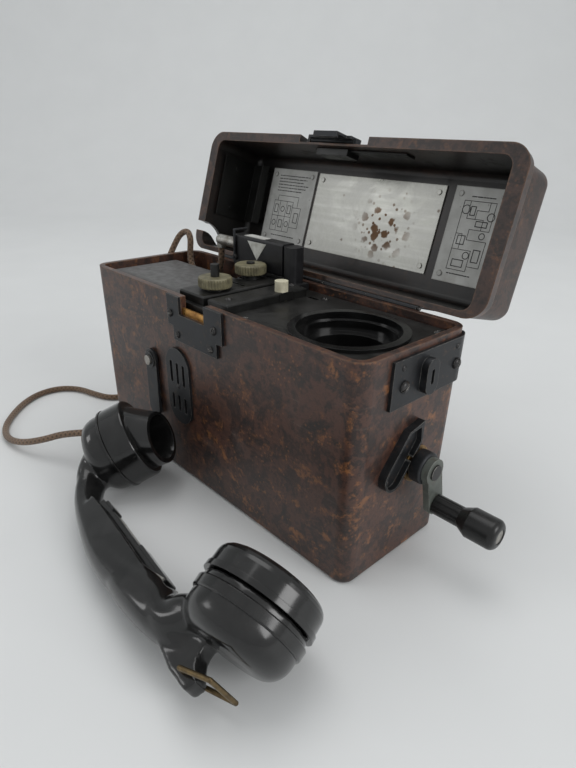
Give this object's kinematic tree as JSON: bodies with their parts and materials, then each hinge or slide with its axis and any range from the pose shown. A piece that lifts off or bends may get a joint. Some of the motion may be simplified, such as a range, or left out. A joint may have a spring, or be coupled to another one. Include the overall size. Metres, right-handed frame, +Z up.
{
  "type": "portable crank telephone",
  "caption": "Portable magneto field telephone: moulded case with open hinged lid, side crank, terminals, bell and corded handset.",
  "frame": {"origin": "centre of the case's bottom face, on the table", "axes": "+Z up, +X along the case towards the crank end, -Y out of the case's front face"},
  "size_m": [0.4262, 0.2822, 0.2407],
  "materials": {
    "bakelite": "satin",
    "lid_bakelite": "satin",
    "blackened_steel": "worn matt",
    "bright_steel": "satin",
    "zinc": "worn",
    "brass": "aged",
    "card": "matt",
    "deck_black": "satin",
    "cradle_black": "gloss",
    "cover_grey": "satin",
    "nut_cream": "satin",
    "ivory": "gloss",
    "plug_black": "satin",
    "handset_black": "gloss",
    "grip_black": "satin",
    "arm_grey": "worn",
    "cord_brown": "braided",
    "magnet_steel": "matt",
    "battery_case": "matt",
    "coil_copper": "enamelled"
  },
  "bodies": {
    "case": {"case_body": "bakelite", "front_latch_plate": "blackened_steel", "latch_catch": "brass", "bell_grille": "blackened_steel", "jack_socket": "brass", "jack_screw": "bright_steel", "strap_plate_right": "blackened_steel", "strap_plate_left": "blackened_steel", "crank_trough": "blackened_steel", "case_hinge_leaf": "blackened_steel", "hinge_pin": "bright_steel", "deck_panel": "deck_black", "receiver_cradle": "cradle_black", "battery": "battery_case", "battery_cover": "cover_grey", "terminal_block": "deck_black", "switch_strip": "deck_black", "plug_socket": "plug_black", "plug_body": "plug_black", "plug_ferrule": "bright_steel", "generator_frame": "brass", "generator_magnets": "magnet_steel", "shaft_bush": "brass", "ringer_frame": "bright_steel", "induction_coil": "coil_copper", "capacitor": "cover_grey", "inner_lead": "cord_brown", "handset_cord": "cord_brown"},
    "lid": {"lid_shell": "lid_bakelite", "lid_hinge_leaf": "blackened_steel", "code_card": "card", "writing_plate": "zinc", "circuit_card": "card", "lid_side_bracket": "blackened_steel", "latch_bracket": "blackened_steel", "latch_spring": "bright_steel"},
    "latch": {"lid_latch": "blackened_steel"},
    "crank": {"crank_shaft": "bright_steel", "crank_gear": "brass", "crank_hub": "blackened_steel", "crank_arm": "arm_grey", "grip_pin": "bright_steel"},
    "grip": {"crank_grip": "grip_black"},
    "rotor": {"armature": "coil_copper"},
    "button": {"test_button": "ivory"},
    "front_nut": {"terminal_nut_front": "nut_cream"},
    "rear_nut": {"terminal_nut_rear": "nut_cream"},
    "socket_cover": {"jack_cover": "blackened_steel"},
    "clip": {"plug_clip": "blackened_steel"},
    "bell_clapper": {"clapper": "brass"},
    "handset": {"handset_shell": "handset_black", "receiver_cap": "handset_black", "receiver_capsule": "bright_steel", "mouthpiece": "handset_black", "transmitter_capsule": "bright_steel", "talk_bar_bracket": "bright_steel", "cord_gland": "handset_black"},
    "talk_switch": {"talk_bar": "handset_black"},
    "ring": {"hang_ring": "brass"}
  },
  "joints": [
    {"name": "lid_hinge", "type": "hinge", "parent": "case", "child": "lid", "pos_m": [0, 0.0495, 0.1413], "axis": [1, 0, 0], "range_deg": [0, 106]},
    {"name": "lid_latch_pivot", "type": "hinge", "parent": "lid", "child": "latch", "pos_m": [0, 0.08194, 0.23374], "axis": [-1, 0, 0], "range_deg": [0, 20], "stiffness_Nm_per_rad": 0.03, "springref_deg": -11.46},
    {"name": "crank_turn", "type": "hinge", "parent": "case", "child": "crank", "pos_m": [0.14, 0.008, 0.065], "axis": [1, 0, 0], "continuous": true},
    {"name": "grip_spin", "type": "hinge", "parent": "crank", "child": "grip", "pos_m": [0.17, 0.014, 0.0405], "axis": [1, 0, 0], "continuous": true},
    {"name": "armature_spin", "type": "hinge", "parent": "case", "child": "rotor", "pos_m": [0.08, 0.008, 0.0274], "axis": [1, 0, 0], "continuous": true},
    {"name": "test_button_press", "type": "slide", "parent": "case", "child": "button", "axis": [0, 0, -1], "range_m": [0, 0.003], "stiffness_N_per_m": 150, "springref_m": -0.001},
    {"name": "front_nut_turn", "type": "hinge", "parent": "case", "child": "front_nut", "pos_m": [-0.014, -0.021, 0.147], "axis": [0, 0, 1], "continuous": true},
    {"name": "rear_nut_turn", "type": "hinge", "parent": "case", "child": "rear_nut", "pos_m": [-0.024, 0.018, 0.148], "axis": [0, 0, 1], "continuous": true},
    {"name": "socket_cover_swivel", "type": "hinge", "parent": "case", "child": "socket_cover", "pos_m": [-0.058, -0.049, 0.085], "axis": [0, 1, 0], "range_deg": [0, 90]},
    {"name": "plug_clip_swing", "type": "hinge", "parent": "case", "child": "clip", "pos_m": [-0.057, 0.0294, 0.15], "axis": [0, -1, 0], "range_deg": [0, 35]},
    {"name": "clapper_swing", "type": "hinge", "parent": "case", "child": "bell_clapper", "pos_m": [0, -0.013, 0.1], "axis": [0, 1, 0], "range_deg": [-3, 3]},
    {"name": "handset_lift", "type": "slide", "parent": "case", "child": "handset", "axis": [0, 0, 1], "range_m": [0, 0.12], "deforming": ["handset_cord"]},
    {"name": "talk_bar_press", "type": "hinge", "parent": "handset", "child": "talk_switch", "pos_m": [0.08485, -0.13248, 0.02241], "axis": [-0.1084, -0.4483, 0.8873], "range_deg": [0, 2], "stiffness_Nm_per_rad": 0.6, "springref_deg": -2.86},
    {"name": "hang_ring_swing", "type": "hinge", "parent": "handset", "child": "ring", "pos_m": [0.13604, -0.15104, 0.01928], "axis": [-0.1084, -0.4483, 0.8873], "range_deg": [-90, 30]}
  ],
  "couplings": [
    {"joint": "armature_spin", "follows": "crank_turn", "ratio": -4}
  ]
}
